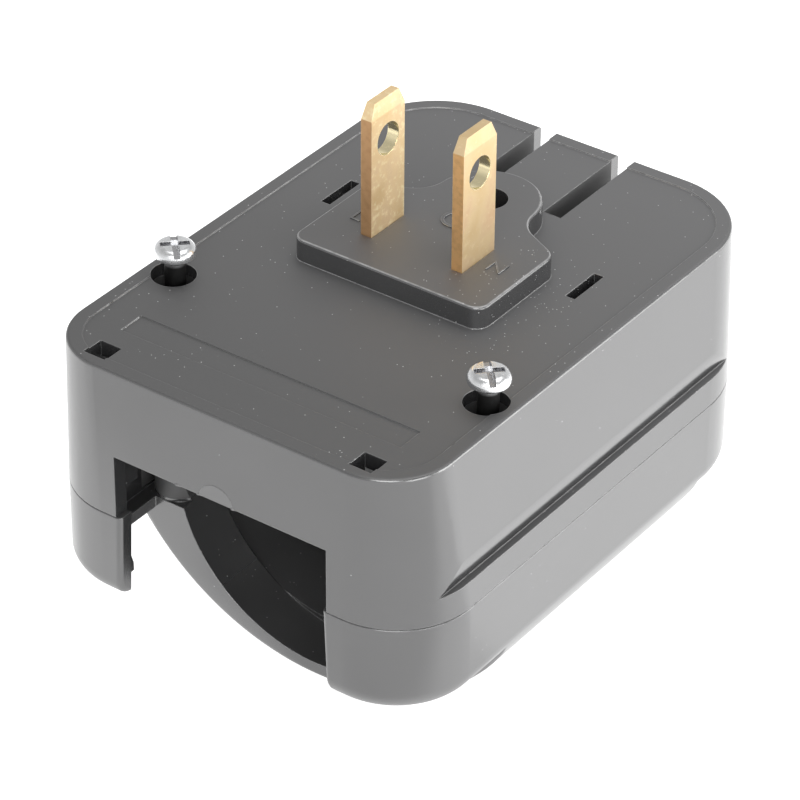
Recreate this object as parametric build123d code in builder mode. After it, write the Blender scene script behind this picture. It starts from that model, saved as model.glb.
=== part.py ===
"""Travel adapter: a two-piece moulded housing that takes a round-headed plug and offers two flat blades.

Frame: x across the body, y from the cord notch (front) to the release tongue (rear), z up.
The origin is under the middle of the body, on the flat of the vault that the adapter rests on.
"""
import os
from math import asin, cos, radians, sin, tan

from build123d import *

os.makedirs("parts", exist_ok=True)

# Body outline seen from above: at the top edge, and where the flared sides meet the lower cover
body_width = 51.0
body_length = 72.4
front_corner = 8.2
rear_corner = 11.4
split_width = 54.0
split_front_corner = 10.0
split_rear_corner = 13.5

# Heights above the resting flat
floor_height = 14.2
split_height = 25.85
top_height = 45.5

# Walls of the two mouldings
side_wall = 2.0
top_wall = 2.0
floor_thickness = 1.5
split_gap = 0.1
split_chamfer = 0.12

# Raised margin round the top face, its rounded outer edge, and the shallow field for a label
margin_width = 1.9
margin_rise = 0.15
top_edge_round = 0.4
label_width = 38.6
label_length = 3.65
label_setback = 9.2
label_sink = 0.15

# Raised plug face with the blank earth hole
plate_width = 26.6
plate_front = 8.4
plate_rear = 6.35
plate_rise = 2.85
plate_rake = 26.5
plate_corner = 1.8
plate_rear_corner = 2.2
plate_waist = 4.2
plate_edge = 0.35
lobe_radius = 6.5
earth_offset = 11.9
earth_radius = 2.5

# Flat blades
blade_y = 2.95
blade_spacing = 12.7
blade_width = 6.35
blade_thickness = 1.5
blade_reach = 17.1
blade_hole_radius = 2.0
blade_hole_height = 11.7
blade_tip_length = 1.9
blade_tip_inset = 0.85
blade_tip_bevel = 0.2
blade_fit = 0.05
shoulder_width = 8.4
shoulder_height = 2.0
tail_end = 25.2

# Socket for the round-headed plug, whose axis lies along y
plug_axis_height = 21.3
plug_bore = 19.6
plug_bore_inner = 20.4
pin_spacing = 19.0
pin_radius = 2.4
pin_fit = 0.1

# Vault that bulges below the floor of the cover
vault_radius = 30.9
vault_axis_height = 30.6
vault_shoulder = 6.0
vault_length = 46.4
vault_rear_round = 6.5
rim_y = -19.4
rim_web = 2.0
rim_round = 0.8
collar_length = 7.4
collar_wall = 2.0
cover_edge_round = 2.5

# Cord notch in the front wall, the two legs below it, and the open bay behind them
notch_width = 29.6
notch_top = 34.2
leg_flat = 2.85
leg_draft = 0.6
leg_edge_round = 0.6
bay_width = 46.0

# Ramped nub on the inner face of each leg
nub_rise = 0.75
nub_width = 2.0
nub_foot = 2.7
nub_flat = 1.1
nub_ramp = 2.4

# Finger groove along each side
groove_height = 29.2
groove_depth = 0.93
groove_rise = 3.2

# Openings in the top wall
square_hole = 3.0
square_hole_x = 18.25
square_hole_setback = 2.95
catch_slot_width = 1.3
catch_slot_length = 5.95
catch_slot_x = 17.3
catch_slot_y = 9.55
tongue_slot_width = 2.45
tongue_slot_x = 5.6
tongue_slot_front = 20.2
tongue_rib_wall = 1.5
tongue_rib_drop = 3.0

# Catches moulded under those openings
hook_lug_wall = 1.6
hook_lug_drop = 14.8
hook_ledge = 1.5
catch_rib_wall = 1.5
catch_drop = 3.0
catch_ledge = 1.5

# Release tongue at the rear
tongue_catch_depth = 1.1
tongue_catch_height = 28.2
tongue_catch_rise = 2.0
tongue_catch_width = 4.6
lug_width = 7.6
lug_wall = 1.6
lug_fit = 0.3
lug_rise = 7.5
lug_window_fit = 0.4

# Cover screws, backed out until their tips hang in the holes of the upper shell
screw_inset = 5.25
screw_y = -16.3
screw_head_radius = 2.5
screw_head_height = 1.6
screw_head_round = 1.0
screw_shank_radius = 1.25
screw_length = 20.0
screw_lift = 2.7
screw_lean = 1.0
screw_head_fit = 0.15
screw_shank_fit = 0.1
screw_seat_depth = 9.5
screw_point = 1.2
screw_point_radius = 0.5
boss_wall = 1.0
cover_boss_radius = 3.0
pilot_radius = 1.1
pilot_depth = 9.5

# Contact carrier behind the plug socket
carrier_front = -2.5
carrier_wall = 2.0
carrier_fit = 0.1
cell_wall = 1.5
cell_top = 33.0
cell_room = 0.8
arm_wall = 1.4
arm_root = 27.0
arm_gap = 0.25
arm_fit = 0.1
arm_hook = 1.6
arm_lead = 0.3

# Spring contacts riveted to the blade tails
spring_thickness = 0.6
spring_width = 6.8
spring_front_gap = 0.6
spring_top = 39.5
spring_bend_radius = 3.0
spring_bend_height = 2.0
sleeve_lead = 1.0
sleeve_grip = 0.05
sleeve_wrap = 290.0
rivet_radius = 1.25
rivet_fit = 0.05
rivet_head_radius = 2.0
rivet_head_height = 0.7
rivet_head_bevel = 0.3
rivet_heights = (36.5, 29.5)

sides = (-1, 1)
plate_top = top_height + plate_rise
margin_top = top_height + margin_rise
blade_places = [(side * blade_spacing / 2, blade_y) for side in sides]
screw_x = split_width / 2 - screw_inset
screw_places = [(side * screw_x, screw_y) for side in sides]

# Planes that the two mouldings share
shell_base = split_height + split_gap / 2
cover_top = split_height - split_gap / 2
ceiling = top_height - top_wall
cover_half_width = split_width / 2
floor_top = floor_height + floor_thickness
front_face = body_length / 2
bay_front = side_wall - front_face
leg_gap = split_width - 2 * (split_front_corner + leg_flat)
square_hole_y = square_hole_setback - front_face
earth_y = blade_y + earth_offset
vault_top = (floor_top + cover_top) / 2
carrier_back = carrier_front + carrier_wall


def flared(at_top, at_split, height):
    """A size of the body outline at a height: it changes evenly from the top down to the split."""
    share = (top_height - max(height, split_height)) / (top_height - split_height)
    return at_top + share * (at_split - at_top)


def body_outline(height, grow):
    """Plan outline of the body at a height, moved outwards by grow on every side."""
    with BuildSketch(Plane.XY.offset(height)) as outline:
        Rectangle(flared(body_width, split_width, height) + 2 * grow, body_length + 2 * grow)
        front = flared(front_corner, split_front_corner, height) + grow
        rear = flared(rear_corner, split_rear_corner, height) + grow
        fillet(outline.vertices().group_by(Axis.Y)[0], front)
        fillet(outline.vertices().group_by(Axis.Y)[-1], rear)
    return outline.sketch


def half_width_at(height):
    """Half-width of the flared body at a height."""
    return flared(body_width, split_width, height) / 2


def vault_block(front, rear, grow, front_round, rear_round):
    """Solid of the vault from y front to y rear, moved outwards by grow, with round ends and a flat crown."""
    with BuildPart() as block:
        with BuildSketch(Plane.XZ.offset(-front)) as section:
            with Locations((0, vault_axis_height)):
                Circle(vault_radius + grow)
            with Locations((0, vault_top - vault_radius / 2)):
                Rectangle(2 * (cover_half_width + grow), vault_radius, mode=Mode.INTERSECT)
            fillet(section.vertices().group_by(Axis.Y)[0], vault_shoulder)
        extrude(amount=front - rear)
        for end, radius in ((0, front_round), (-1, rear_round)):
            if radius:
                fillet(block.faces().sort_by(Axis.Y)[end].edges().filter_by(GeomType.CIRCLE), radius)
        split(bisect_by=Plane.XY.offset(-grow), keep=Keep.TOP)
        extrude(body_outline(-grow, grow), amount=vault_top, mode=Mode.INTERSECT)
    return block.part


with BuildPart() as upper_shell:
    # Flared box, hollow inside, whose top face is sunk a little inside the margin
    loft([body_outline(shell_base, 0), body_outline(margin_top, 0)], ruled=True)
    fillet(upper_shell.faces().sort_by(Axis.Z)[-1].edges(), top_edge_round)
    extrude(body_outline(top_height, -margin_width), amount=margin_rise, mode=Mode.SUBTRACT)
    hollow = [body_outline(shell_base, -side_wall), body_outline(ceiling, -side_wall)]
    loft(hollow, ruled=True, mode=Mode.SUBTRACT)
    # Field for a label
    with BuildSketch(Plane.XY.offset(top_height)):
        with Locations((0, label_setback - front_face)):
            Rectangle(label_width, label_length)
    extrude(amount=-label_sink, mode=Mode.SUBTRACT)
    # Raised plug face: a block with raked shoulders that sweep into the lobe round the earth hole
    plate_half = plate_width / 2
    shoulder_y = blade_y + plate_rear
    with BuildSketch(Plane.XY.offset(top_height)) as plate:
        with BuildLine():
            Polyline(
                (-plate_half, blade_y - plate_front),
                (plate_half, blade_y - plate_front),
                (plate_half, shoulder_y),
                (0, shoulder_y + plate_half * tan(radians(plate_rake))),
                (-plate_half, shoulder_y),
                close=True,
            )
        make_face()
        with Locations(Location((0, earth_y, 0), (0, 0, 90))):
            Circle(lobe_radius)
        waist = plate.vertices().sort_by(lambda v: abs(v.X))[:2]
        fillet(waist, plate_waist)
        corners = plate.vertices().filter_by(lambda v: abs(v.X) > plate_half - plate_edge)
        fillet(corners.group_by(Axis.Y)[0], plate_corner)
        corners = plate.vertices().filter_by(lambda v: abs(v.X) > plate_half - plate_edge)
        fillet(corners.group_by(Axis.Y)[-1], plate_rear_corner)
    extrude(amount=plate_rise)
    fillet(upper_shell.faces().sort_by(Axis.Z)[-1].edges(), plate_edge)
    # Screw bosses
    with BuildSketch(Plane.XY.offset(shell_base)):
        with Locations(*screw_places):
            Circle(screw_head_radius + screw_head_fit + boss_wall)
    extrude(amount=ceiling - shell_base)
    # Hooks beside the square holes and catches beside the narrow slots
    for side in sides:
        with BuildSketch(Plane.XY.offset(ceiling)):
            with Locations((side * (square_hole_x - (square_hole + hook_lug_wall) / 2), square_hole_y)):
                Rectangle(hook_lug_wall, square_hole)
        extrude(amount=-hook_lug_drop)
        with BuildSketch(Plane.XY.offset(ceiling - hook_lug_drop)):
            with Locations((side * square_hole_x, square_hole_y)):
                Rectangle(square_hole, square_hole)
        extrude(amount=hook_ledge)
        with BuildSketch(Plane.XY.offset(ceiling)):
            with Locations((side * (catch_slot_x + (catch_slot_width + catch_rib_wall) / 2), catch_slot_y)):
                Rectangle(catch_rib_wall, catch_slot_length)
        extrude(amount=-(catch_drop + catch_ledge))
        with BuildSketch(Plane.XY.offset(ceiling - catch_drop - catch_ledge)):
            with Locations((side * catch_slot_x, catch_slot_y)):
                Rectangle(catch_slot_width, catch_slot_length)
        extrude(amount=catch_ledge)
    # Ribs that stiffen the edges of the release tongue, and the catch on the tongue's inner face
    tongue_face = front_face - side_wall
    rib_front = tongue_slot_front - tongue_rib_wall
    rib_rear = tongue_face + side_wall / 2
    with BuildSketch(Plane.XY.offset(ceiling)):
        with Locations(*[(side * tongue_slot_x, (rib_front + rib_rear) / 2) for side in sides]):
            Rectangle(tongue_slot_width + 2 * tongue_rib_wall, rib_rear - rib_front)
    extrude(amount=-tongue_rib_drop)
    with BuildSketch(Plane.YZ.offset(-tongue_catch_width / 2)):
        with BuildLine():
            Polyline(
                (tongue_face + side_wall / 2, tongue_catch_height),
                (tongue_face - tongue_catch_depth, tongue_catch_height + tongue_catch_rise / 2),
                (tongue_face - tongue_catch_depth, tongue_catch_height + tongue_catch_rise),
                (tongue_face + side_wall / 2, tongue_catch_height + tongue_catch_rise),
                close=True,
            )
        make_face()
    extrude(amount=tongue_catch_width)
    # Finger groove along each side: the wall curves in and steps back out on a ledge
    groove_wall = half_width_at(groove_height + groove_rise)
    groove_floor = half_width_at(groove_height) - groove_depth
    groove_inset = groove_wall - groove_floor
    groove_radius = (groove_rise**2 + groove_inset**2) / (2 * groove_inset)
    groove_turn = asin(groove_rise / groove_radius) / 2
    with BuildSketch(Plane.XZ.offset(front_face + side_wall)):
        with BuildLine():
            ThreePointArc(
                (groove_floor, groove_height),
                (
                    groove_wall - groove_radius * (1 - cos(groove_turn)),
                    groove_height + groove_rise - groove_radius * sin(groove_turn),
                ),
                (groove_wall, groove_height + groove_rise),
            )
            Polyline(
                (groove_wall, groove_height + groove_rise),
                (groove_wall + side_wall, groove_height + groove_rise),
                (groove_wall + side_wall, groove_height),
                (groove_floor, groove_height),
            )
        make_face()
        mirror(about=Plane.YZ)
    extrude(amount=-(body_length + 2 * side_wall), mode=Mode.SUBTRACT)
    # Openings through the top
    through = plate_rise + top_wall + blade_fit
    with BuildSketch(Plane.XY.offset(plate_top)):
        with Locations(*blade_places):
            Rectangle(blade_thickness + 2 * blade_fit, blade_width + 2 * blade_fit)
        with Locations((0, earth_y)):
            Circle(earth_radius)
        with Locations(*[(side * square_hole_x, square_hole_y) for side in sides]):
            Rectangle(square_hole, square_hole)
        with Locations(*[(side * catch_slot_x, catch_slot_y) for side in sides]):
            Rectangle(catch_slot_width, catch_slot_length)
    extrude(amount=-through, mode=Mode.SUBTRACT)
    # Slots that free the release tongue, through the top wall and the rear wall
    tongue_slot_length = front_face + side_wall - tongue_slot_front
    tongue_slot_y = tongue_slot_front + tongue_slot_length / 2
    with BuildSketch(Plane.XY.offset(plate_top)):
        with Locations(*[(side * tongue_slot_x, tongue_slot_y) for side in sides]):
            Rectangle(tongue_slot_width, tongue_slot_length)
    extrude(amount=-(plate_top - shell_base), mode=Mode.SUBTRACT)
    # Screw holes, with a seat for the head deep inside
    with Locations(*[(x, y, margin_top) for x, y in screw_places]):
        CounterBoreHole(
            screw_shank_radius + screw_shank_fit,
            screw_head_radius + screw_head_fit,
            screw_seat_depth + margin_rise,
            margin_top - shell_base,
        )
    # Cord notch in the front wall
    with BuildSketch(Plane.XZ.offset(front_face + side_wall)):
        with Locations((0, (notch_top + shell_base - side_wall) / 2)):
            Rectangle(notch_width, notch_top - shell_base + side_wall)
    extrude(amount=-(2 * side_wall), mode=Mode.SUBTRACT)
    # Way for the round head of the plug, between the screw bosses
    with BuildSketch(Plane.XZ.offset(-rim_y)):
        with Locations((0, plug_axis_height)):
            Circle(plug_bore_inner)
    extrude(amount=rim_y - carrier_front, mode=Mode.SUBTRACT)
upper_shell.part.label = "upper_shell"
export_step(upper_shell.part, "parts/upper_shell.step")


def plug_collar(vault):
    """Thick ring round the way in for the plug, as far as it lies inside the vault."""
    with BuildPart() as collar:
        with BuildSketch(Plane.XZ.offset(-rim_y)):
            with Locations((0, plug_axis_height)):
                Circle(plug_bore_inner + collar_wall)
            with Locations((0, floor_top - vault_radius / 2)):
                Rectangle(split_width, vault_radius, mode=Mode.INTERSECT)
        extrude(amount=-collar_length)
        add(vault, mode=Mode.INTERSECT)
    return collar.part


def bay_block():
    """Room of the open bay: as wide as its opening, as far as it lies inside the walls of the cover."""
    base = floor_height - side_wall
    with BuildPart() as room:
        with BuildSketch(Plane.XY.offset(base)):
            with Locations((0, (rim_y + bay_front) / 2)):
                Rectangle(bay_width, rim_y - bay_front)
        extrude(amount=split_height - base)
        extrude(body_outline(base, -side_wall), amount=split_height - base, mode=Mode.INTERSECT)
    return room.part


with BuildPart() as lower_cover:
    # Shallow box with rounded lower edges
    extrude(body_outline(floor_height, 0), amount=cover_top - floor_height)
    fillet(lower_cover.faces().sort_by(Axis.Z)[0].edges(), cover_edge_round)
    chamfer(lower_cover.faces().sort_by(Axis.Z)[-1].edges(), split_chamfer)
    # Vault under it, then the hollow of the box and of the vault
    vault_rear = rim_y + vault_length
    vault = vault_block(rim_y, vault_rear, 0, rim_round, vault_rear_round)
    add(vault)
    extrude(body_outline(floor_top, -side_wall), amount=cover_top - floor_top, mode=Mode.SUBTRACT)
    hollow_front = rim_y + rim_web
    hollow_rear = vault_rear - side_wall
    hollow_round = vault_rear_round - side_wall
    add(vault_block(hollow_front, hollow_rear, -side_wall, 0, hollow_round), mode=Mode.SUBTRACT)
    # Collar that carries the round head of the plug
    add(plug_collar(vault))
    # Screw bosses, joined to the rim and the flanks of the vault
    with BuildSketch(Plane.XY.offset(floor_height)):
        with Locations(*screw_places):
            Circle(cover_boss_radius)
    extrude(amount=cover_top - floor_height)
    # Lug that the release tongue holds
    lug_face = tongue_face - lug_fit
    with BuildSketch(Plane.XY.offset(floor_top)):
        with Locations((0, lug_face - lug_wall / 2)):
            Rectangle(lug_width, lug_wall)
    extrude(amount=split_height + lug_rise - floor_top)
    with BuildSketch(Plane.XY.offset(floor_top)):
        with Locations((0, lug_face + side_wall / 2)):
            Rectangle(lug_width, side_wall)
    extrude(amount=cover_top - floor_top)
    with BuildSketch(Plane.XZ.offset(-lug_face)):
        with Locations((0, tongue_catch_height + tongue_catch_rise / 2)):
            Rectangle(tongue_catch_width + 2 * lug_window_fit, tongue_catch_rise + 2 * lug_window_fit)
    extrude(amount=lug_wall, mode=Mode.SUBTRACT)
    # Round way in for the plug, slightly wider towards its inner end
    with BuildSketch(Plane.XZ.offset(-rim_y)):
        with Locations((0, plug_axis_height)):
            Circle(plug_bore)
    with BuildSketch(Plane.XZ.offset(-rim_y - collar_length)):
        with Locations((0, plug_axis_height)):
            Circle(plug_bore_inner)
    loft(mode=Mode.SUBTRACT)
    # Open bay in front of the vault, and the gap between the legs, which widens downwards
    add(bay_block(), mode=Mode.SUBTRACT)
    leg_face = leg_gap / 2
    leg_end = leg_face + leg_draft
    with BuildSketch(Plane.XZ.offset(front_face + side_wall)):
        with BuildLine():
            Polyline(
                (-leg_face, split_height),
                (leg_face, split_height),
                (leg_end, floor_height - side_wall),
                (-leg_end, floor_height - side_wall),
                close=True,
            )
        make_face()
    extrude(amount=-(3 * side_wall), mode=Mode.SUBTRACT)
    long_edges = lower_cover.edges().filter_by(lambda e: e.length > (cover_top - floor_height) / 2)
    front_edges = long_edges.filter_by(lambda e: abs(e.center().Y + front_face) < side_wall / 2)
    jambs = front_edges.filter_by(lambda e: leg_face < abs(e.center().X) < leg_end)
    fillet(jambs, leg_edge_round)
    # Nubs on the inner faces of the legs
    nub_base = floor_height + nub_foot
    for start in (-leg_end - nub_width, leg_end):
        with BuildSketch(Plane.YZ.offset(start)):
            with BuildLine():
                Polyline(
                    (bay_front - side_wall / 2, nub_base),
                    (bay_front + nub_rise, nub_base),
                    (bay_front + nub_rise, nub_base + nub_flat),
                    (bay_front, nub_base + nub_flat + nub_ramp),
                    (bay_front - side_wall / 2, nub_base + nub_flat + nub_ramp),
                    close=True,
                )
            make_face()
        extrude(amount=nub_width)
    # Pilot holes for the screws
    with Locations(*[(x, y, cover_top) for x, y in screw_places]):
        Hole(pilot_radius, pilot_depth)
lower_cover.part.label = "lower_cover"
export_step(lower_cover.part, "parts/lower_cover.step")


def blade(side):
    """Flat blade: tip and hole above the plug face, shoulder under the top wall, tail with rivet holes."""
    tip = plate_top + blade_reach
    centre = side * blade_spacing / 2
    with BuildPart() as strip:
        with BuildSketch(Plane.YZ.offset(centre - blade_thickness / 2)) as face:
            with Locations((blade_y, (tip + tail_end) / 2)):
                Rectangle(blade_width, tip - tail_end)
            chamfer(face.vertices().group_by(Axis.Y)[-1], blade_tip_length, blade_tip_inset)
            with Locations((blade_y, ceiling - shoulder_height / 2)):
                Rectangle(shoulder_width, shoulder_height)
            with Locations((blade_y, plate_top + blade_hole_height)):
                Circle(blade_hole_radius, mode=Mode.SUBTRACT)
            with Locations(*[(blade_y, height) for height in rivet_heights]):
                Circle(rivet_radius + rivet_fit, mode=Mode.SUBTRACT)
        extrude(amount=blade_thickness)
        # The broad faces are bevelled towards the tip
        with BuildSketch(Plane.XZ.offset(-blade_y)) as edge:
            with Locations((centre, (tip + tail_end) / 2)):
                Rectangle(blade_thickness, tip - tail_end)
            chamfer(edge.vertices().group_by(Axis.Y)[-1], blade_tip_length, blade_tip_bevel)
        extrude(amount=shoulder_width, both=True, mode=Mode.INTERSECT)
    return strip.part


with BuildPart() as line_blade:
    add(blade(-1))
line_blade.part.label = "line_blade"
export_step(line_blade.part, "parts/line_blade.step")

with BuildPart() as neutral_blade:
    add(blade(1))
neutral_blade.part.label = "neutral_blade"
export_step(neutral_blade.part, "parts/neutral_blade.step")

# Sleeve that a pin of the plug is pushed into, and the strap that carries it
sleeve_radius = pin_radius - sleeve_grip + spring_thickness / 2
sleeve_outer = sleeve_radius + spring_thickness / 2
strap_face = blade_spacing / 2 + blade_thickness / 2
strap_x = strap_face + spring_thickness / 2
sleeve_x = pin_spacing / 2 - sleeve_radius
spring_front = carrier_back + spring_front_gap


def contact(side):
    """Spring strip: a strap down the outer face of the blade's tail, rolled into a sleeve round the pin."""
    bend_foot = plug_axis_height + sleeve_lead
    with BuildPart() as spring:
        with BuildSketch(Plane.XZ.offset(-spring_front)):
            with BuildLine():
                strap = FilletPolyline(
                    (side * strap_x, spring_top),
                    (side * strap_x, bend_foot + spring_bend_height),
                    (side * sleeve_x, bend_foot),
                    (side * sleeve_x, plug_axis_height),
                    radius=spring_bend_radius,
                )
                JernArc(strap @ 1, (0, -1), sleeve_radius, side * sleeve_wrap)
            trace(line_width=spring_thickness)
        extrude(amount=-spring_width)
        with BuildSketch(Plane.YZ.offset(side * blade_spacing / 2)):
            with Locations(*[(blade_y, height) for height in rivet_heights]):
                Circle(rivet_radius + rivet_fit)
        extrude(amount=side * (blade_thickness + spring_thickness), mode=Mode.SUBTRACT)
    return spring.part


with BuildPart() as line_contact:
    add(contact(-1))
line_contact.part.label = "line_contact"
export_step(line_contact.part, "parts/line_contact.step")

with BuildPart() as neutral_contact:
    add(contact(1))
neutral_contact.part.label = "neutral_contact"
export_step(neutral_contact.part, "parts/neutral_contact.step")


def rivets(side):
    """The two rivets that clamp a contact strap to a blade's tail."""
    inner_face = side * (blade_spacing / 2 - blade_thickness / 2)
    outer_face = side * (strap_face + spring_thickness)
    with BuildPart() as pair:
        with BuildSketch(Plane.YZ.offset(inner_face)):
            with Locations(*[(blade_y, height) for height in rivet_heights]):
                Circle(rivet_radius)
        extrude(amount=outer_face - inner_face)
        for face, way in ((inner_face, -side), (outer_face, side)):
            with BuildSketch(Plane.YZ.offset(face)):
                with Locations(*[(blade_y, height) for height in rivet_heights]):
                    Circle(rivet_head_radius)
            extrude(amount=way * rivet_head_height)
            crowns = pair.faces().sort_by(Axis.X)[:2] if way < 0 else pair.faces().sort_by(Axis.X)[-2:]
            chamfer(crowns.edges(), rivet_head_bevel)
    return pair.part


with BuildPart() as line_rivets:
    add(rivets(-1))
line_rivets.part.label = "line_rivets"
export_step(line_rivets.part, "parts/line_rivets.step")

with BuildPart() as neutral_rivets:
    add(rivets(1))
neutral_rivets.part.label = "neutral_rivets"
export_step(neutral_rivets.part, "parts/neutral_rivets.step")

with BuildPart() as contact_carrier:
    # Upright plate that closes the socket: it stands on the vault's floor and holds the blades' shoulders up
    carrier_radius = plug_axis_height - side_wall - carrier_fit
    carrier_top = ceiling - shoulder_height - carrier_fit
    with BuildSketch(Plane.XZ.offset(-carrier_front)):
        with Locations((0, plug_axis_height)):
            Circle(carrier_radius)
        with Locations((0, plug_axis_height - carrier_radius / 2)):
            Rectangle(2 * carrier_radius, carrier_radius, mode=Mode.INTERSECT)
        with Locations((0, (plug_axis_height + carrier_top) / 2)):
            Rectangle(2 * carrier_radius, carrier_top - plug_axis_height)
        with Locations(*[(side * pin_spacing / 2, plug_axis_height) for side in sides]):
            Circle(pin_radius + pin_fit, mode=Mode.SUBTRACT)
    extrude(amount=-carrier_wall)
    # Shelf and walls of the two cells behind it
    arm_face = catch_slot_x - catch_slot_width / 2 - arm_gap
    arm_length = catch_slot_length - 2 * arm_fit
    arm_rear = catch_slot_y + arm_length / 2
    shelf_top = plug_axis_height - sleeve_outer - cell_room
    cell_face = blade_spacing / 2 - blade_thickness / 2 - rivet_head_height - cell_room
    cell_rear = spring_front + spring_width + cell_room
    with BuildSketch(Plane.XY.offset(shelf_top)):
        with Locations((0, (carrier_back + arm_rear) / 2)):
            Rectangle(2 * arm_face, arm_rear - carrier_back)
    extrude(amount=-cell_wall)
    for side in sides:
        with BuildSketch(Plane.XY.offset(shelf_top)):
            with Locations((side * (cell_face - cell_wall / 2), (carrier_back + cell_rear) / 2)):
                Rectangle(cell_wall, cell_rear - carrier_back)
        extrude(amount=cell_top - shelf_top)
        with BuildSketch(Plane.XY.offset(shelf_top)):
            with Locations((side * (arm_face - arm_wall / 2), (carrier_back + arm_rear) / 2)):
                Rectangle(arm_wall, arm_rear - carrier_back)
        extrude(amount=arm_root - shelf_top)
        # Spring arm with a hook that rests on the catch of the upper shell
        ledge_top = ceiling - catch_drop + arm_fit
        hook_face = catch_slot_x + catch_slot_width / 2 - arm_fit
        with BuildSketch(Plane.XZ.offset(arm_length / 2 - catch_slot_y)):
            with BuildLine():
                Polyline(
                    (side * (arm_face - arm_wall), shelf_top),
                    (side * (arm_face - arm_wall), ledge_top + arm_hook),
                    (side * (arm_face + arm_lead), ledge_top + arm_hook),
                    (side * hook_face, ledge_top),
                    (side * arm_face, ledge_top),
                    (side * arm_face, shelf_top),
                    close=True,
                )
            make_face()
        extrude(amount=-arm_length)
contact_carrier.part.label = "contact_carrier"
export_step(contact_carrier.part, "parts/contact_carrier.step")


def cover_screw(side):
    """Pan-head cover screw, backed out of the lower cover: its tip hangs in the upper shell, so it leans."""
    head_base = top_height + screw_lift
    tip = head_base - screw_length
    pivot = (tip + top_height - screw_seat_depth) / 2
    with BuildPart() as upright:
        with BuildSketch(Plane.XZ) as half:
            with BuildLine():
                Polyline(
                    (0, tip - pivot),
                    (screw_point_radius, tip - pivot),
                    (screw_shank_radius, tip + screw_point - pivot),
                    (screw_shank_radius, head_base - pivot),
                    (screw_head_radius, head_base - pivot),
                    (screw_head_radius, head_base + screw_head_height - pivot),
                    (0, head_base + screw_head_height - pivot),
                    close=True,
                )
            make_face()
            fillet(half.vertices().group_by(Axis.Y)[-1].sort_by(Axis.X)[-1], screw_head_round)
        revolve(axis=Axis.Z)
    with BuildPart() as screw:
        with Locations(Location((side * screw_x, screw_y, pivot), (0, screw_lean, 0))):
            add(upright.part)
    return screw.part


with BuildPart() as cover_screw_left:
    add(cover_screw(-1))
cover_screw_left.part.label = "cover_screw_left"
export_step(cover_screw_left.part, "parts/cover_screw_left.step")

with BuildPart() as cover_screw_right:
    add(cover_screw(1))
cover_screw_right.part.label = "cover_screw_right"
export_step(cover_screw_right.part, "parts/cover_screw_right.step")
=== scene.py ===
# %% [markdown]
# # A travel adapter, from bare solids to a finished picture
# The adapter is a black moulded housing in two shells. Two brass blades stand on its raised plug face,
# a round socket opens below, and two bright screws stand half out of their holes. The solids come
# ready-made from the part's frame, in metres. This lesson gives them their finishes and adds the small
# pieces that only matter to the eye.

# %% Load the frame
import math

import bmesh
import bpy
from mathutils import Matrix, Vector


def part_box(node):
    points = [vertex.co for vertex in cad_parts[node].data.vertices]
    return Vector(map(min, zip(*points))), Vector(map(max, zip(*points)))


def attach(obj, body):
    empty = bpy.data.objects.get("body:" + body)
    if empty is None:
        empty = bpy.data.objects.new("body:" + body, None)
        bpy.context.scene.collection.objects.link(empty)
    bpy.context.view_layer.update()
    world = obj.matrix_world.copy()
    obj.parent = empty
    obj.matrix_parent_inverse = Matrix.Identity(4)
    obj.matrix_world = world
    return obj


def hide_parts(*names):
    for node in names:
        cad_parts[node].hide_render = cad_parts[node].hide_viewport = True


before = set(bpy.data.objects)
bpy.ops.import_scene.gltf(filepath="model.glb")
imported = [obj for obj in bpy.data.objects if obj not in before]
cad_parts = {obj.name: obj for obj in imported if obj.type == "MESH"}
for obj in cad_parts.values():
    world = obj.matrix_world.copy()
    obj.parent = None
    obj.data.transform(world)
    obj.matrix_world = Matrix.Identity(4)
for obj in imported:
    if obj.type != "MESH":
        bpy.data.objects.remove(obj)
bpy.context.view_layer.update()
mm = 0.001
print("solids:", ", ".join(sorted(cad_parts)))

# %% [markdown]
# ## Where things are
# Later pieces sit on faces of the solids, so their places are read from the boxes of the nodes wherever
# a box can tell them. What a box can't tell, such as the height of the cord notch, is written here once,
# in millimetres.

# %% Faces that the small pieces sit on
shell_low, shell_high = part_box("upper_shell")
front_y = shell_low.y
plate_top = shell_high.z
notch_top = 34.2 * mm
print("front face at y", round(front_y / mm, 2), "plug face at z", round(plate_top / mm, 2))

# %% [markdown]
# ## The camera
# The photograph was taken from the front right and above, with a long lens. The camera gets the same
# place, turn and lens, so that the render can be laid over the photograph. Its turn is built from three
# angles: round the object, above the horizon, and a slight roll.

# %% Camera at the photograph's place
camera_azimuth = math.radians(35.743)
camera_elevation = math.radians(34.171)
camera_roll = math.radians(0.435)
camera_place = Vector((219.9, -307.7, 284.82)) * mm
lens_in_picture_widths = 4.8986
sensor_width = 36.0

back = Vector((
    math.sin(camera_azimuth) * math.cos(camera_elevation),
    -math.cos(camera_azimuth) * math.cos(camera_elevation),
    math.sin(camera_elevation),
))
turn = (-back).to_track_quat("-Z", "Y").to_matrix() @ Matrix.Rotation(camera_roll, 3, "Z")
bpy.ops.object.select_all(action="DESELECT")
bpy.ops.object.camera_add(location=camera_place, rotation=turn.to_euler())
camera = bpy.context.object
camera.data.sensor_width = sensor_width
camera.data.lens = lens_in_picture_widths * sensor_width
camera.data.clip_start = 0.01
camera.data.clip_end = 20.0
scene = bpy.context.scene
scene.camera = camera
scene.view_settings.view_transform = "Standard"
print("camera looks along", [round(v, 4) for v in -back])

# %% [markdown]
# ## Helpers for finishes
# A finish is a small tree of nodes. Building trees by hand is mostly adding a node, setting its fields
# and joining its sockets, so one helper does all three: a value is written into a socket, and another
# node's output is linked to it.

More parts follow.
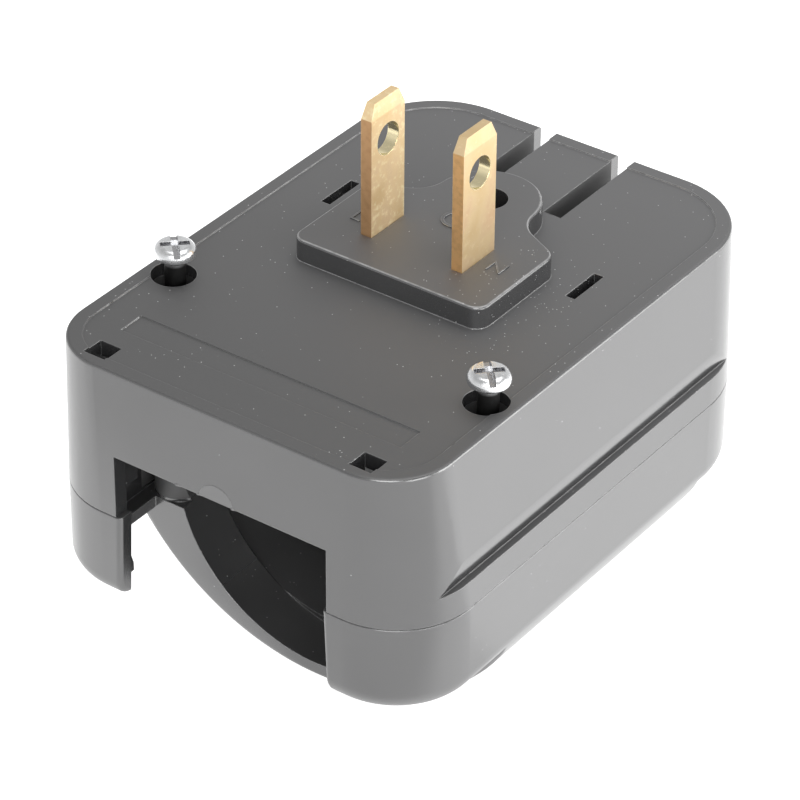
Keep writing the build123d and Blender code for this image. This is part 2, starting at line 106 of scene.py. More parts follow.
# %% Helpers for finishes
def add_node(tree, kind, inputs=None, **fields):
    """Adds a node, sets its fields, and fills or links its input sockets."""
    node = tree.nodes.new(kind)
    for name, value in fields.items():
        setattr(node, name, value)
    for name, value in (inputs or {}).items():
        if isinstance(value, bpy.types.NodeSocket):
            tree.links.new(value, node.inputs[name])
        else:
            node.inputs[name].default_value = value
    return node


def new_finish(name):
    """A fresh material: returns it with its tree, its shader and the object coordinates."""
    finish = bpy.data.materials.new(name)
    finish.use_nodes = True
    tree = finish.node_tree
    shader = tree.nodes["Principled BSDF"]
    place = add_node(tree, "ShaderNodeTexCoord").outputs["Object"]
    return finish, tree, shader, place


def noise(tree, place, scale, detail=2.0, roughness=0.5):
    """Value of a noise pattern with about this many waves in a metre."""
    inputs = {"Vector": place, "Scale": scale, "Detail": detail, "Roughness": roughness}
    return add_node(tree, "ShaderNodeTexNoise", inputs).outputs["Fac"]


def remap(tree, value, low, high, to_low=0.0, to_high=1.0):
    """Stretches a value from one range to another and stops at the ends."""
    inputs = {"Value": value, "From Min": low, "From Max": high, "To Min": to_low, "To Max": to_high}
    return add_node(tree, "ShaderNodeMapRange", inputs).outputs["Result"]


def calculate(tree, operation, first, second):
    """One sum on two values or sockets."""
    return add_node(tree, "ShaderNodeMath", {0: first, 1: second}, operation=operation).outputs[0]


def mix_colour(tree, share, first, second):
    """Colour between two colours or sockets."""
    node = add_node(tree, "ShaderNodeMix", data_type="RGBA")
    for socket, value in (("Factor_Float", share), ("A_Color", first), ("B_Color", second)):
        target = next(s for s in node.inputs if s.identifier == socket)
        if isinstance(value, bpy.types.NodeSocket):
            tree.links.new(value, target)
        else:
            target.default_value = value
    return next(s for s in node.outputs if s.identifier == "Result_Color")


def axes_of(tree, vector):
    """The x, y and z of a vector, as three sockets."""
    outputs = add_node(tree, "ShaderNodeSeparateXYZ", {"Vector": vector}).outputs
    return outputs["X"], outputs["Y"], outputs["Z"]


def facing_of(tree):
    """The direction that a face looks in, in object coordinates."""
    return add_node(tree, "ShaderNodeTexCoord").outputs["Normal"]


def edge_mask(tree, radius):
    """White along the edges of a solid, within this radius, and black on its faces."""
    rounded = add_node(tree, "ShaderNodeBevel", {"Radius": radius}, samples=6).outputs["Normal"]
    flat = add_node(tree, "ShaderNodeNewGeometry").outputs["Normal"]
    turned = add_node(tree, "ShaderNodeVectorMath", {0: rounded, 1: flat}, operation="DOT_PRODUCT")
    return rounded, remap(tree, turned.outputs["Value"], 0.99, 0.86)


# %% [markdown]
# ## Marks, painted shade and painted highlight on the plastic
# Three marks are laid on the moulded housing. Lint lies all over the top and heaps up to the right of
# the plug face, where a sleeve wipes past. Edges are made pale, partly as rubbed wear and partly as painted
# highlight: the sharp ones, the small round of the plug face and, in a fine line of painted highlight, the
# round of the long right edge. The front edges are made less pale, and the rear edge of the sunk label
# field and the edges inside the vault are left out. The walls of the two long slots, the screw bosses and
# the hollow inside are rougher, because nobody polishes the core of a mould, and their colour is darkened
# nearly to black as painted shade. All three are masks in object coordinates. Painted pictures would do
# too, but would blur when the camera comes close. Boxes are given in millimetres, as a centre and a half
# size.

# %% Marks, painted shade and painted highlight on the plastic
lint_cells_per_metre = 2700.0
lint_heap = (13.5 * mm, 1.0 * mm, 46.5 * mm)
heap_stretch = (1.0, 0.55, 1.0)
heap_edge, heap_core = 8.0 * mm, 1.0 * mm
round_above = 47.0 * mm
label_edge_y, label_edge_half = -25.17 * mm, 0.35 * mm
less_pale_y, fully_pale_y = -28.0 * mm, -26.0 * mm
right_edge_box = (24.0, 0.0, 45.0), (3.5, 30.0, 1.4)
slot_box = (5.6, 27.4, 35.0), (1.27, 7.3, 13.0)
boss_box = (21.75, -16.3, 30.05), (3.3, 3.2, 13.95)
hollow_box = (0.0, -5.5, 32.75), (25.0, 25.5, 10.75)
vault_box = (0.0, 5.0, 10.0), (24.0, 24.2, 11.0)


def lint_mask(tree, place, up, share):
    """Specks of lint: thin on every face, more on top, thick round one heap."""
    spread = {"Vector": place, "Scale": lint_cells_per_metre}
    cells = add_node(tree, "ShaderNodeTexVoronoi", spread, feature="F1")
    near = remap(tree, cells.outputs["Distance"], 0.20, 0.10)
    chance = add_node(tree, "ShaderNodeSeparateColor", {"Color": cells.outputs["Color"]}).outputs["Red"]
    patches = remap(tree, noise(tree, place, 120.0, 2.0), 0.42, 0.66, 0.2 * share, share)
    thin = calculate(tree, "MULTIPLY", patches, remap(tree, up, 0.0, 1.0, 0.06, 1.0))
    shrunk = add_node(tree, "ShaderNodeMapping", {"Vector": place, "Scale": heap_stretch}).outputs["Vector"]
    away = add_node(tree, "ShaderNodeVectorMath", {0: shrunk, 1: lint_heap}, operation="DISTANCE")
    heap = remap(tree, away.outputs["Value"], heap_edge, heap_core, 0.0, 9.0 * share)
    heap = calculate(tree, "MULTIPLY", heap, remap(tree, noise(tree, place, 350.0, 2.0), 0.42, 0.6))
    chosen = calculate(tree, "LESS_THAN", chance, calculate(tree, "ADD", thin, heap))
    return calculate(tree, "MULTIPLY", near, chosen)


def within(tree, value, centre, half):
    """One where a value lies no further than this from a centre, else nought."""
    off = calculate(tree, "ABSOLUTE", calculate(tree, "SUBTRACT", value, centre), 0.0)
    return calculate(tree, "LESS_THAN", off, half)


def boxes_mask(tree, place, *boxes):
    """One inside any of these boxes, given in mm as centre and half size; x counts to both sides."""
    x, y, z = axes_of(tree, place)
    aside = calculate(tree, "ABSOLUTE", x, 0.0)
    mask = 0.0
    for centre, half in boxes:
        inside = 1.0
        for value, middle, reach in zip((aside, y, z), centre, half):
            inside = calculate(tree, "MULTIPLY", inside, within(tree, value, middle * mm, reach * mm))
        mask = calculate(tree, "MAXIMUM", mask, inside)
    return mask


def wear_and_highlight_mask(tree, place, sharp, up):
    """Pale edges, partly rubbed wear and partly painted highlight: sharp ones and parts of two rounds,
    broken up by a noise; the fine line on the right edge's round is painted highlight.
    """
    x, y, z = axes_of(tree, place)
    on_round = calculate(tree, "MULTIPLY", remap(tree, up, 0.66, 0.78), remap(tree, up, 0.99, 0.94))
    on_plug = calculate(tree, "MULTIPLY", on_round, calculate(tree, "GREATER_THAN", z, round_above))
    on_label = within(tree, y, label_edge_y, label_edge_half)
    spared = calculate(tree, "MAXIMUM", on_label, boxes_mask(tree, place, vault_box))
    elsewhere = calculate(tree, "MULTIPLY", sharp, calculate(tree, "SUBTRACT", 1.0, spared))
    by_place = remap(tree, y, less_pale_y, fully_pale_y, 0.4, 1.0)
    elsewhere = calculate(tree, "MULTIPLY", elsewhere, by_place)
    # Painted highlight: a fine pale line on the round of the long right edge.
    faint = remap(tree, up, 0.3, 0.42, 0.0, 0.6)
    painted_edge_highlight = calculate(tree, "MULTIPLY", faint, remap(tree, up, 0.72, 0.6))
    painted_edge_highlight = calculate(tree, "MULTIPLY", painted_edge_highlight, boxes_mask(tree, place, right_edge_box))
    painted_edge_highlight = calculate(tree, "MULTIPLY", painted_edge_highlight, calculate(tree, "GREATER_THAN", x, 0.0))
    wear_and_highlight = calculate(tree, "MAXIMUM", calculate(tree, "MAXIMUM", elsewhere, on_plug), painted_edge_highlight)
    broken = remap(tree, noise(tree, place, 900.0, 2.0), 0.35, 0.65, 0.45, 1.0)
    return calculate(tree, "MULTIPLY", wear_and_highlight, broken)


# %% [markdown]
# ## Moulded black plastic
# The housing is moulded in a black plastic with a satin skin: nearly black in the hollow, where painted
# shade darkens it further, grey where the skin mirrors the white room. The mould's flanks were polished so
# that the part slides out, and its flat top was only fine-ground, so the top is the duller face. As painted
# light, the top's colour is darker at the front and lighter towards the rear. A broad cloud makes the skin
# uneven, and a fine grain gives the mould's texture.

# %% Moulded black plastic
# Where the painted light gradient on the top begins and ends.
top_gradient_front, top_gradient_rear = -30.0 * mm, 30.0 * mm
edge_round_radius = 0.19 * mm


def moulded_black(name, tone, gloss_roughness, lint_share):
    """Satin black plastic: duller top with a painted light gradient, uneven skin, pale edges that are
    partly wear and partly painted highlight, painted shade in the recesses, a little lint.
    """
    finish, tree, shader, place = new_finish(name)
    up = axes_of(tree, facing_of(tree))[2]
    on_top = remap(tree, up, 0.7, 0.95)
    cloud = noise(tree, place, 70.0, 3.0)
    grain = noise(tree, place, 5200.0, 2.0)
    rounded, sharp = edge_mask(tree, edge_round_radius)
    pale_edges = wear_and_highlight_mask(tree, place, sharp, up)
    lint = lint_mask(tree, place, up, lint_share)
    dull_and_shaded = boxes_mask(tree, place, slot_box, boss_box, hollow_box)

    darker = [0.86 * v for v in tone] + [1.0]
    paler = [1.14 * v for v in tone] + [1.0]
    skin = mix_colour(tree, remap(tree, cloud, 0.3, 0.7), darker, paler)
    # Painted light: the top's colour is darker at the front and lighter towards the rear.
    painted_top_gradient = remap(tree, axes_of(tree, place)[1], top_gradient_front, top_gradient_rear)
    painted_darker_front = [0.2 * v for v in tone] + [1.0]
    painted_lighter_rear = [2.0 * v for v in tone] + [1.0]
    painted_top_light = mix_colour(tree, painted_top_gradient, painted_darker_front, painted_lighter_rear)
    skin_and_painted_top = mix_colour(tree, calculate(tree, "MULTIPLY", on_top, 0.85), skin, painted_top_light)
    # Painted shade: the slot walls, screw bosses and hollow are darkened nearly to black; the same mask
    # also makes them rougher.
    painted_recess_shade = mix_colour(tree, dull_and_shaded, skin_and_painted_top, (0.012, 0.012, 0.012, 1.0))
    # Pale edges: partly rubbed wear, partly painted highlight.
    wear_and_highlight = mix_colour(tree, pale_edges, painted_recess_shade, (0.30, 0.30, 0.30, 1.0))
    dusty = mix_colour(tree, lint, wear_and_highlight, (0.72, 0.72, 0.72, 1.0))
    tree.links.new(dusty, shader.inputs["Base Color"])
    rough = remap(tree, cloud, 0.25, 0.75, gloss_roughness - 0.02, gloss_roughness + 0.02)
    for mask, more in ((on_top, 0.4), (lint, 0.2), (dull_and_shaded, 0.5)):
        rough = calculate(tree, "ADD", rough, calculate(tree, "MULTIPLY", mask, more))
    tree.links.new(rough, shader.inputs["Roughness"])
    fine = {"Height": grain, "Strength": 0.5, "Distance": 0.004 * mm, "Normal": rounded}
    fine_normal = add_node(tree, "ShaderNodeBump", fine).outputs["Normal"]
    waves = {"Height": cloud, "Strength": 0.5, "Distance": 0.03 * mm, "Normal": fine_normal}
    tree.links.new(add_node(tree, "ShaderNodeBump", waves).outputs["Normal"], shader.inputs["Normal"])
    shader.inputs["IOR"].default_value = 1.8
    shader.inputs["Specular IOR Level"].default_value = 1.0
    return finish


housing_finish = moulded_black("satin_black_housing", (0.033, 0.033, 0.034), 0.22, 0.08)
carrier_finish = moulded_black("matt_black_carrier", (0.028, 0.028, 0.028), 0.5, 0.0)
print("plastics:", housing_finish.name, carrier_finish.name)

# %% [markdown]
# ## Brass
# The blades are stamped from rolled brass strip. Their broad faces keep the fine lines of the rolls and
# the scratches of use, their narrow sheared edges are browner and faintly flecked, and the punched holes
# are burnished by the punch, and their colour is painted paler as a painted highlight. Fingers leave a warm
# tarnish. One blade is scuffed and the other smooth, so the share of scuffs, the tarnish and the tone of
# the sheared edges are values of the function.

# %% Brass
blade_y = 2.95 * mm
hole_height = 11.7 * mm
hole_centre = (0.0, blade_y, plate_top + hole_height)
hole_radius = 2.0 * mm
rim_inner, rim_outer = hole_radius + 0.04 * mm, hole_radius + 0.08 * mm


def hole_mask(tree, place):
    """The wall of the punched hole and the thin rim round it."""
    flattened = {"Vector": place, "Scale": (0.0, 1.0, 1.0)}
    flat = add_node(tree, "ShaderNodeMapping", flattened).outputs["Vector"]
    away = add_node(tree, "ShaderNodeVectorMath", {0: flat, 1: hole_centre}, operation="DISTANCE")
    return remap(tree, away.outputs["Value"], rim_outer, rim_inner)


def rolled_brass(name, strength, edge_colour, scuff_share, tarnish_share):
    """Rolled brass strip with lines along z, scuffs, tarnish, sheared edges and a burnished hole painted
    paler as a painted highlight.
    """
    finish, tree, shader, place = new_finish(name)
    lines_at = add_node(tree, "ShaderNodeMapping", {"Vector": place, "Scale": (3000.0, 3000.0, 90.0)})
    lines = noise(tree, lines_at.outputs["Vector"], 1.0, 2.0)
    blotch = noise(tree, place, 260.0, 4.0, 0.6)
    pits = noise(tree, place, 1500.0, 3.0, 0.65)
    along = axes_of(tree, facing_of(tree))[1]
    sheared = remap(tree, calculate(tree, "ABSOLUTE", along, 0.0), 0.94, 0.98)
    on_face = calculate(tree, "SUBTRACT", 1.0, sheared)
    scuffed = remap(tree, pits, 0.62 - 0.12 * scuff_share, 0.74 - 0.12 * scuff_share, 0.0, scuff_share)
    scuffed = calculate(tree, "MULTIPLY", scuffed, on_face)
    rounded, pale_edges = edge_mask(tree, 0.1 * mm)
    hole = hole_mask(tree, place)

    pale = [strength * v for v in (0.95, 0.77, 0.50)] + [1.0]
    deep = [strength * v for v in (0.92, 0.70, 0.40)] + [1.0]
    clean = mix_colour(tree, remap(tree, blotch, 0.35, 0.65), deep, pale)
    warm = calculate(tree, "MULTIPLY", remap(tree, blotch, 0.5, 0.7), tarnish_share)
    tarnished = mix_colour(tree, warm, clean, (0.68, 0.42, 0.25, 1.0))
    cut_edge = mix_colour(tree, calculate(tree, "MULTIPLY", sheared, 0.9), tarnished, edge_colour)
    flecks = remap(tree, noise(tree, place, 1300.0, 3.0), 0.45, 0.7, 0.0, 0.3)
    flecked = calculate(tree, "MULTIPLY", sheared, flecks)
    cut_edge = mix_colour(tree, flecked, cut_edge, (0.46, 0.25, 0.11, 1.0))
    bright = mix_colour(tree, scuffed, cut_edge, (0.98, 0.86, 0.60, 1.0))
    edged = mix_colour(tree, calculate(tree, "MULTIPLY", pale_edges, 0.4), bright, (0.99, 0.86, 0.62, 1.0))
    # Painted highlight: the hole's wall and rim are painted paler brass; the same mask also makes them
    # smoother.
    burnished_and_highlit = mix_colour(tree, hole, edged, (1.0, 0.88, 0.56, 1.0))
    tree.links.new(burnished_and_highlit, shader.inputs["Base Color"])
    shader.inputs["Metallic"].default_value = 1.0
    rough = remap(tree, blotch, 0.3, 0.7, 0.54, 0.62)
    for mask, more in ((scuffed, 0.12), (hole, -0.4)):
        rough = calculate(tree, "ADD", rough, calculate(tree, "MULTIPLY", mask, more))
    tree.links.new(rough, shader.inputs["Roughness"])
    rolled = {"Height": lines, "Strength": 0.35, "Distance": 0.004 * mm, "Normal": rounded}
    rolled_normal = add_node(tree, "ShaderNodeBump", rolled).outputs["Normal"]
    dents = {"Height": pits, "Strength": 0.5 * scuff_share, "Distance": 0.03 * mm, "Normal": rolled_normal}
    tree.links.new(add_node(tree, "ShaderNodeBump", dents).outputs["Normal"], shader.inputs["Normal"])
    return finish


line_brass = rolled_brass("scuffed_blade_brass", 0.97, (0.66, 0.395, 0.20, 1.0), 0.8, 0.25)
neutral_brass = rolled_brass("smooth_blade_brass", 0.84, (0.89, 0.55, 0.245, 1.0), 0.25, 0.45)
spring_brass = rolled_brass("spring_strip_brass", 0.9, (0.66, 0.42, 0.21, 1.0), 0.3, 0.5)
rivet_brass = rolled_brass("rivet_brass", 0.9, (0.66, 0.42, 0.21, 1.0), 0.2, 0.6)
print("brasses:", line_brass.name, neutral_brass.name, spring_brass.name, rivet_brass.name)

# %% [markdown]
# ## Bright zinc plate
# The screws are steel with a thin bright zinc plate. It mirrors the room, but softly, and the plating
# leaves small clouds that differ in gloss. Down the shank, where the head and its hole shade it, the colour
# is painted nearly black as painted shade. A metal needs little colour: its look is its roughness, so the
# painted shade is a dark and rough layer below a certain height. The floor and walls of the drive are
# painted grey as painted shade in the recess.

# %% Bright zinc plate
# Heights over which the painted shade on the shank fades in.
shank_shade_low, shank_shade_high = 47.1 * mm, 48.3 * mm
drive_floor, drive_floor_half = 49.0 * mm, 0.35 * mm
drive_wall = 49.15 * mm


def bright_zinc(name):
    """Zinc-plated steel, cool and bright, with cloudy gloss, a shank darkened nearly black as painted
    shade, and painted shade in the drive.
    """
    finish, tree, shader, place = new_finish(name)
    cloud = noise(tree, place, 1100.0, 3.0, 0.6)
    rounded, pale_edges = edge_mask(tree, 0.08 * mm)
    plate = mix_colour(tree, remap(tree, cloud, 0.3, 0.7), (0.78, 0.79, 0.80, 1.0), (0.90, 0.91, 0.92, 1.0))
    bright = mix_colour(tree, pale_edges, plate, (0.96, 0.96, 0.96, 1.0))
    z, up = axes_of(tree, place)[2], axes_of(tree, facing_of(tree))[2]
    # Painted shade: the shank below a certain height is darkened nearly to black and made rougher.
    painted_shank_shade = remap(tree, z, shank_shade_high, shank_shade_low)
    low_down = within(tree, z, drive_floor, drive_floor_half)
    on_floor = calculate(tree, "MULTIPLY", remap(tree, up, 0.8, 0.95), low_down)
    high_up = calculate(tree, "GREATER_THAN", z, drive_wall)
    on_wall = calculate(tree, "MULTIPLY", remap(tree, up, 0.3, 0.2), high_up)
    painted_drive_shade = calculate(tree, "MAXIMUM", on_floor, on_wall)
    # Painted shade: the drive's floor and walls are painted grey.
    drive_shaded = mix_colour(tree, painted_drive_shade, bright, (0.50, 0.50, 0.51, 1.0))
    shank_shaded = mix_colour(tree, painted_shank_shade, drive_shaded, (0.03, 0.03, 0.03, 1.0))
    tree.links.new(shank_shaded, shader.inputs["Base Color"])
    shader.inputs["Metallic"].default_value = 1.0
    rough = remap(tree, cloud, 0.3, 0.7, 0.18, 0.32)
    rough = calculate(tree, "ADD", rough, calculate(tree, "MULTIPLY", painted_shank_shade, 0.3))
    tree.links.new(rough, shader.inputs["Roughness"])
    dents = {"Height": cloud, "Strength": 0.3, "Distance": 0.03 * mm, "Normal": rounded}
    tree.links.new(add_node(tree, "ShaderNodeBump", dents).outputs["Normal"], shader.inputs["Normal"])
    return finish


zinc_finish = bright_zinc("bright_zinc_plate")
print("screw finish:", zinc_finish.name)

# %% [markdown]
# ## Helpers for modelling
# The small pieces are modelled with the same few moves: select a piece, write its place into its mesh so
# that it sits at the origin, apply a modifier, take one shape out of another, and hand the finished piece
# to the frame. Each move is a short function here, so that the steps below stay readable.

# %% Helpers for modelling
def pick(*pieces):
    """Selects these pieces alone; the first of them becomes the active one."""
    bpy.ops.object.select_all(action="DESELECT")
    for piece in pieces:
        piece.select_set(True)
    bpy.context.view_layer.objects.active = pieces[0]


def settle(piece):
    """Writes the piece's place, turn and scale into its mesh, so that it sits at the origin."""
    pick(piece)
    bpy.ops.object.transform_apply(location=True, rotation=True, scale=True)


def shape(piece, kind, **fields):
    """Adds a modifier to a piece, sets its fields and applies it."""
    pick(piece)
    modifier = piece.modifiers.new(kind.lower(), kind)
    for name, value in fields.items():
        setattr(modifier, name, value)
    bpy.ops.object.modifier_apply(modifier=modifier.name)


def rod(low, high, radius, sides):
    """An upright cylinder between two heights on the z axis."""
    bpy.ops.object.select_all(action="DESELECT")
    bpy.ops.mesh.primitive_cylinder_add(
        vertices=sides, radius=radius, depth=high - low, location=(0.0, 0.0, (low + high) / 2)
    )
    settle(bpy.context.object)
    return bpy.context.object


def block(centre, size, turn=0.0):
    """A box of this size round a centre, turned about z."""
    bpy.ops.object.select_all(action="DESELECT")
    bpy.ops.mesh.primitive_cube_add(size=1.0, location=centre, rotation=(0.0, 0.0, turn))
    bpy.context.object.scale = size
    settle(bpy.context.object)
    return bpy.context.object


def cut(piece, cutter):
    """Takes the cutter's shape out of a piece and throws the cutter away."""
    shape(piece, "BOOLEAN", object=cutter, operation="DIFFERENCE", solver="EXACT")
    bpy.data.objects.remove(cutter)


def hand_over(piece, name, finish):
    """Names a finished piece, gives it its finish and lets it ride with the part."""
    piece.name = name
    piece.data.name = name
    piece.data.materials.clear()
    piece.data.materials.append(finish)
    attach(piece, "root")
    print(name, "has", len(piece.data.vertices), "vertices")


# %% [markdown]
# ## A cover screw: the head
# Two steel screws hold the shells together. A screw like this is cold-headed from wire: a punch spreads
# the end of the wire into a flat-topped pan head and presses the drive into it, here a cross and a slot
# in one. A turned profile would give the same outline, but a bevelled cylinder with the drive cut out of
# it by booleans follows the order of the real work and keeps the drive's walls crisp.

# %% Head of the screw
head_radius = 2.5 * mm
head_height = 1.6 * mm
head_round = 1.0 * mm
under_round = 0.4 * mm
shank_length = 20.0 * mm
tip_z = 28.2 * mm
pivot_z = 32.1 * mm
head_low = tip_z + shank_length - pivot_z
head_high = head_low + head_height
edge_slack = 0.01 * mm
drive_turn = math.radians(134.5)
cross_length, cross_width, cross_depth = 3.4 * mm, 0.85 * mm, 1.0 * mm
slot_length, slot_width, slot_depth = 6.0 * mm, 0.75 * mm, 0.65 * mm

screw = rod(head_low, head_high, head_radius, 72)
bpy.ops.object.mode_set(mode="EDIT")
bpy.ops.mesh.select_mode(type="EDGE")
bpy.ops.mesh.select_all(action="DESELECT")
head_mesh = bmesh.from_edit_mesh(screw.data)
for edge in head_mesh.edges:
    edge.select = all(end.co.z > head_high - edge_slack for end in edge.verts)
bmesh.update_edit_mesh(screw.data)
bpy.ops.mesh.bevel(offset=head_round, segments=7, profile=0.5)
bpy.ops.mesh.select_all(action="DESELECT")
head_mesh = bmesh.from_edit_mesh(screw.data)
for edge in head_mesh.edges:
    edge.select = all(end.co.z < head_low + edge_slack for end in edge.verts)
bmesh.update_edit_mesh(screw.data)
bpy.ops.mesh.bevel(offset=under_round, segments=3, profile=0.5)
bpy.ops.object.mode_set(mode="OBJECT")
for cutter_size in (
    (cross_length, cross_width, 2 * cross_depth),
    (cross_width, cross_length, 2 * cross_depth),
    (slot_length, slot_width, 2 * slot_depth),
):
    cut(screw, block((0.0, 0.0, head_high), cutter_size, drive_turn))
print("screw head with", len(screw.data.polygons), "faces")

# %% [markdown]
# ## A cover screw: the thread
# The thread is rolled, so its crests stand a little above the wire that it was rolled from. A triangle
# stood beside the axis and wound upwards by a Screw modifier makes exactly such a ridge. It winds round
# a core that ends in a short cone, and it stops below a plain neck, which is as thick as its crests.

# %% Thread of the screw
crest_radius = 1.25 * mm
ridge = 0.3 * mm
pitch = 0.9 * mm
point_length = 1.2 * mm
thread_low = tip_z + point_length - pivot_z
core_radius = crest_radius - ridge
neck_length = 5.0 * mm
neck_low = head_low - neck_length
point_radius = 0.5 * mm
overlap = 0.2 * mm
weld_distance = 0.001 * mm
thread_steps = 28

bpy.ops.object.select_all(action="DESELECT")
bpy.ops.mesh.primitive_circle_add(
    vertices=3, radius=ridge,
    location=(core_radius, 0.0, thread_low), rotation=(math.pi / 2, math.pi / 2, 0.0),
)
thread = bpy.context.object
settle(thread)
turns = int((neck_low - thread_low) / pitch)
shape(
    thread, "SCREW", axis="Z", angle=2 * math.pi, screw_offset=pitch, iterations=turns,
    steps=thread_steps, render_steps=thread_steps,
)
bpy.ops.object.mode_set(mode="EDIT")
bpy.ops.mesh.select_all(action="SELECT")
bpy.ops.mesh.remove_doubles(threshold=weld_distance)
bpy.ops.mesh.fill_holes(sides=0)
bpy.ops.mesh.normals_make_consistent(inside=False)
bpy.ops.object.mode_set(mode="OBJECT")
core = rod(thread_low, neck_low + overlap, core_radius, 36)
neck = rod(neck_low, head_low + overlap, crest_radius, 48)
bpy.ops.object.select_all(action="DESELECT")
bpy.ops.mesh.primitive_cone_add(
    vertices=36, radius1=point_radius, radius2=core_radius, depth=point_length,
    location=(0.0, 0.0, thread_low - point_length / 2),
)
point = bpy.context.object
settle(point)
pick(screw, thread, core, neck, point)
bpy.ops.object.join()
bpy.ops.object.shade_smooth_by_angle(angle=math.radians(32.0))
print("thread of", turns, "turns below a neck of", round(neck_length / mm, 1), "mm")

# %% [markdown]
# ## Two screws in their holes
# The screws stand backed out, and their tips hang in wider holes, so both lean a little to the right.
# The finished screw is copied, each copy is leaned about the middle of its hole, and the two take the
# place of the plain screws of the solid model.

# %% Two screws in their holes
screw_places = {"cover_screw_left": -21.75 * mm, "cover_screw_right": 21.75 * mm}
screw_y = -16.3 * mm
screw_lean = math.radians(1.0)
for node, screw_x in screw_places.items():
    pick(screw)
    bpy.ops.object.duplicate()
    piece = bpy.context.object
    piece.location = (screw_x, screw_y, pivot_z)
    piece.rotation_euler = (0.0, screw_lean, 0.0)
    settle(piece)
    hand_over(piece, node + "_threaded", zinc_finish)
    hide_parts(node)
bpy.data.objects.remove(screw)

# %% [markdown]
# ## Letters beside the blades
# Every plug face says which blade is which: L for line, N for neutral, G for ground. They are engraved
# into the mould, so on the part they stand up, here by 0.15 mm. Text objects give clean outlines; each is
# made a mesh before it is set down on the plug face. A place is x, y and the height of the capital, in mm.

# %% Letters beside the blades
letter_rise = 0.15 * mm
letter_thinning = 0.05 * mm
letter_places = {"L": (-9.55, 2.75, 2.4), "N": (9.65, 2.9, 2.2), "G": (-0.2, 8.5, 3.6)}
cap_share = 0.69
letters = []
for sign, (x, y, cap_height) in letter_places.items():
    bpy.ops.object.select_all(action="DESELECT")
    bpy.ops.object.text_add()
    letter = bpy.context.object
    letter.data.body = sign
    letter.data.align_x = "CENTER"
    letter.data.align_y = "CENTER"
    letter.data.size = cap_height * mm / cap_share
    letter.data.offset = -letter_thinning
    letter.data.extrude = letter_rise
    bpy.ops.object.convert(target="MESH")
    letter.location = (x * mm, y * mm, plate_top)
    settle(letter)
    letters.append(letter)
pick(*letters)
bpy.ops.object.join()
hand_over(letters[0], "terminal_letters", housing_finish)

# %% [markdown]
# ## The gate scar
# Molten plastic entered the mould at the edge of the cord notch. Where the gate was broken off, a half
# round patch is left, a hair proud of the wall and rougher than it, with small burrs at its ends and two
# more further along the edge. A thin disc cut off level with the notch makes the patch; squashed balls make
# the burrs, each given by its distance along the edge and its size, in millimetres.

# %% The gate scar
scar_x = -0.25 * mm
scar_radius = 2.4 * mm
scar_rise = 0.02 * mm
scar_drop = 0.3 * mm
burr_setback = 0.05 * mm
burr_stretch = (1.6, 0.8, 0.9)
burr_rows = (-2.55, 0.16), (-2.2, 0.10), (2.3, 0.18), (2.65, 0.09), (-5.5, 0.20), (-5.15, 0.14)

bpy.ops.object.select_all(action="DESELECT")
bpy.ops.mesh.primitive_cylinder_add(
    vertices=96, radius=scar_radius, depth=2 * scar_rise,
    location=(scar_x, front_y, notch_top - scar_drop), rotation=(math.pi / 2, 0.0, 0.0),
)
scar = bpy.context.object
settle(scar)
bpy.ops.object.mode_set(mode="EDIT")
bpy.ops.mesh.select_all(action="SELECT")
bpy.ops.mesh.bisect(
    plane_co=(0.0, front_y, notch_top), plane_no=(0.0, 0.0, 1.0), use_fill=True, clear_inner=True
)
bpy.ops.object.mode_set(mode="OBJECT")
burrs = [scar]
for offset, size in burr_rows:
    bpy.ops.object.select_all(action="DESELECT")
    bpy.ops.mesh.primitive_ico_sphere_add(
        subdivisions=2, radius=size * mm,
        location=(scar_x + offset * mm, front_y + burr_setback, notch_top),
    )
    burr = bpy.context.object
    burr.scale = burr_stretch
    settle(burr)
    burrs.append(burr)
pick(*burrs)
bpy.ops.object.join()
bpy.ops.object.shade_smooth_by_angle(angle=math.radians(40.0))
scar_finish = moulded_black("rough_black_scar", (0.075, 0.075, 0.076), 0.42, 0.0)
hand_over(scar, "gate_scar", scar_finish)

# %% [markdown]
# ## Dressing the solids
# The solids keep their own meshes, which are already true to size. Only the material in each slot is
# exchanged, so nothing moves.

# %% Dressing the solids
finish_of_node = {
    "upper_shell": housing_finish,
    "lower_cover": housing_finish,
    "contact_carrier": carrier_finish,
    "line_blade": line_brass,
    "neutral_blade": neutral_brass,
    "line_contact": spring_brass,
    "neutral_contact": spring_brass,
    "line_rivets": rivet_brass,
    "neutral_rivets": rivet_brass,
    "cover_screw_left": zinc_finish,
    "cover_screw_right": zinc_finish,
}
for name, finish in finish_of_node.items():
    for material_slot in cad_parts[name].material_slots:
        material_slot.material = finish
print("dressed", len(finish_of_node), "solids")

# %% [markdown]
# ## The table
# The adapter stands on a plain white table. The table is lit like everything else, so it keeps the
# adapter's soft shadow, and a little glow is added where the camera or a glossy surface sees it, so that
# it looks as white as the room behind it. The half behind the adapter is the brighter one, as when the
# light stands behind the table, and the strip just before the adapter is brighter than the rest of the
# front half: that is what the shiny flanks mirror.

# %% The table
table_size = 6.0
table_turn = math.radians(20.0)
table_drop = 0.02 * mm
bright_from, bright_blur = -19.0 * mm, 3.0 * mm
strip_front, strip_rear = -57.0 * mm, -42.0 * mm
dimmer_side, brighter_side = -70.0 * mm, -30.0 * mm

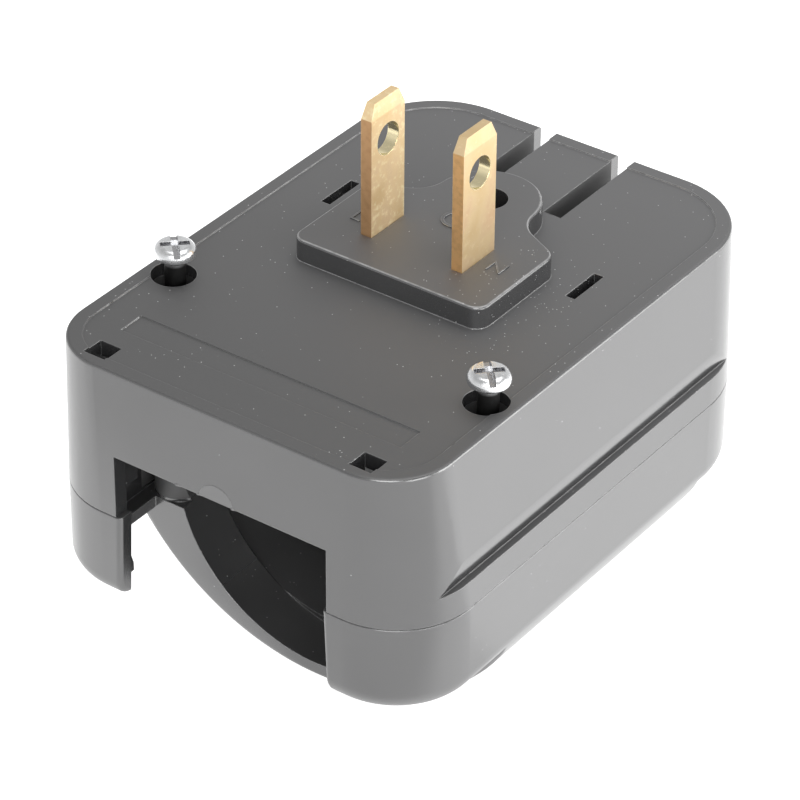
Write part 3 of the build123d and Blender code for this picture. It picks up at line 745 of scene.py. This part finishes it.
bpy.ops.object.select_all(action="DESELECT")
bpy.ops.mesh.primitive_plane_add(size=table_size, location=(0.0, 0.0, -table_drop))
table = bpy.context.object
table.name = "table"
table_finish, tree, shader, place = new_finish("white_table")
seen = add_node(tree, "ShaderNodeLightPath")
across = add_node(tree, "ShaderNodeMapping", {"Vector": place, "Rotation": (0.0, 0.0, -table_turn)})
side, depth = axes_of(tree, across.outputs["Vector"])[:2]
in_front = remap(tree, depth, strip_front, strip_rear, 0.18, 0.62)
behind = remap(tree, depth, bright_from - bright_blur, bright_from + bright_blur)
behind = calculate(tree, "MULTIPLY", behind, remap(tree, side, dimmer_side, brighter_side, 0.72, 1.0))
mirrored = calculate(tree, "MAXIMUM", in_front, behind)
glossy = calculate(tree, "MULTIPLY", seen.outputs["Is Glossy Ray"], mirrored)
viewed = calculate(tree, "MULTIPLY", seen.outputs["Is Camera Ray"], 0.75)
shader.inputs["Base Color"].default_value = (0.86, 0.86, 0.86, 1.0)
shader.inputs["Roughness"].default_value = 0.9
shader.inputs["Specular IOR Level"].default_value = 0.1
shader.inputs["Emission Color"].default_value = (1.0, 1.0, 1.0, 1.0)
tree.links.new(calculate(tree, "ADD", glossy, viewed), shader.inputs["Emission Strength"])
table.data.materials.append(table_finish)
print("table of", table_size, "m")

# %% [markdown]
# ## The light
# Soft studio light: a pale room all round, brighter towards the horizon, one large soft lamp overhead, one
# low behind the right shoulder of the adapter, which picks out its flank, and two from the front right for
# the blades. The camera sees the room as white.

# %% The light
low_in_room, high_in_room = 0.3, 0.75
low_glow, high_glow = 0.74, 0.46

room = bpy.data.worlds.new("pale_room")
scene.world = room
room.use_nodes = True
tree = room.node_tree
background = tree.nodes["Background"]
background.inputs["Color"].default_value = (1.0, 1.0, 1.0, 1.0)
seen = add_node(tree, "ShaderNodeLightPath")
height = axes_of(tree, add_node(tree, "ShaderNodeTexCoord").outputs["Generated"])[2]
pale = remap(tree, height, low_in_room, high_in_room, low_glow, high_glow)
strength = calculate(tree, "MAXIMUM", pale, seen.outputs["Is Camera Ray"])
tree.links.new(strength, background.inputs["Strength"])


def soft_lamp(name, place, target, size, power):
    """A square soft lamp that points at a target."""
    bpy.ops.object.select_all(action="DESELECT")
    aim = (Vector(target) - Vector(place)).to_track_quat("-Z", "Y")
    bpy.ops.object.light_add(type="AREA", location=place, rotation=aim.to_euler())
    lamp = bpy.context.object
    lamp.name = name
    lamp.data.size = size
    lamp.data.energy = power
    return lamp


soft_lamp("overhead_lamp", (0.10, 0.20, 1.10), (0.0, 0.0, 0.0), 0.9, 4.0)
soft_lamp("right_rear_lamp", (0.80, 0.45, 0.25), (0.0, 0.0, 0.03), 0.6, 3.0)
soft_lamp("front_fill_lamp", (0.45, -0.75, 0.60), (0.0, 0.0, 0.03), 0.6, 4.5)
soft_lamp("low_right_lamp", (0.90, -0.25, 0.12), (0.0, 0.0, 0.05), 0.5, 3.2)
